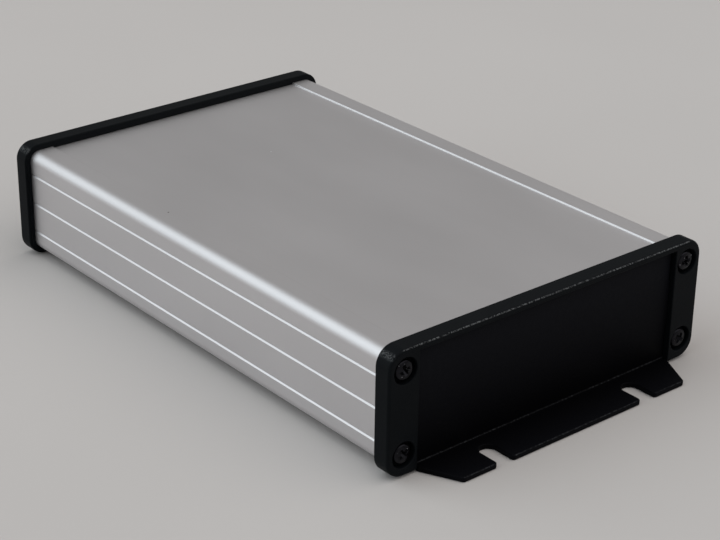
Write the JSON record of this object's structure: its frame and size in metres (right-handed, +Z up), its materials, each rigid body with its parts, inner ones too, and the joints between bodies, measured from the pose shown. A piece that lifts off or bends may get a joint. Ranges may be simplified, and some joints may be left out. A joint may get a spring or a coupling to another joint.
{
  "type": "extruded aluminium enclosure",
  "caption": "Silver extruded aluminium enclosure with black moulded end bezels and black end panels that are bent out into slotted mounting flanges.",
  "frame": {"origin": "centre of the overall box at the undersides of the two flanges", "axes": "X across the enclosure, Y along the extrusion with the front end at -Y, Z up"},
  "size_m": [0.1068, 0.1876, 0.0346],
  "materials": {
    "anodised_aluminium": "satin, clear anodised",
    "moulded_plastic": "fine spark texture, satin",
    "powder_coat": "fine texture powder coat",
    "black_screw": "black zinc plated, satin"
  },
  "bodies": {
    "root": {"body_extrusion": "anodised_aluminium", "belly_plate": "anodised_aluminium", "front_bezel": "moulded_plastic", "front_flanged_panel": "powder_coat", "front_screw_upper_left": "black_screw", "front_screw_upper_right": "black_screw", "front_screw_lower_left": "black_screw", "front_screw_lower_right": "black_screw", "rear_bezel": "moulded_plastic", "rear_flanged_panel": "powder_coat", "rear_screw_upper_left": "black_screw", "rear_screw_upper_right": "black_screw", "rear_screw_lower_left": "black_screw", "rear_screw_lower_right": "black_screw"}
  },
  "joints": []
}
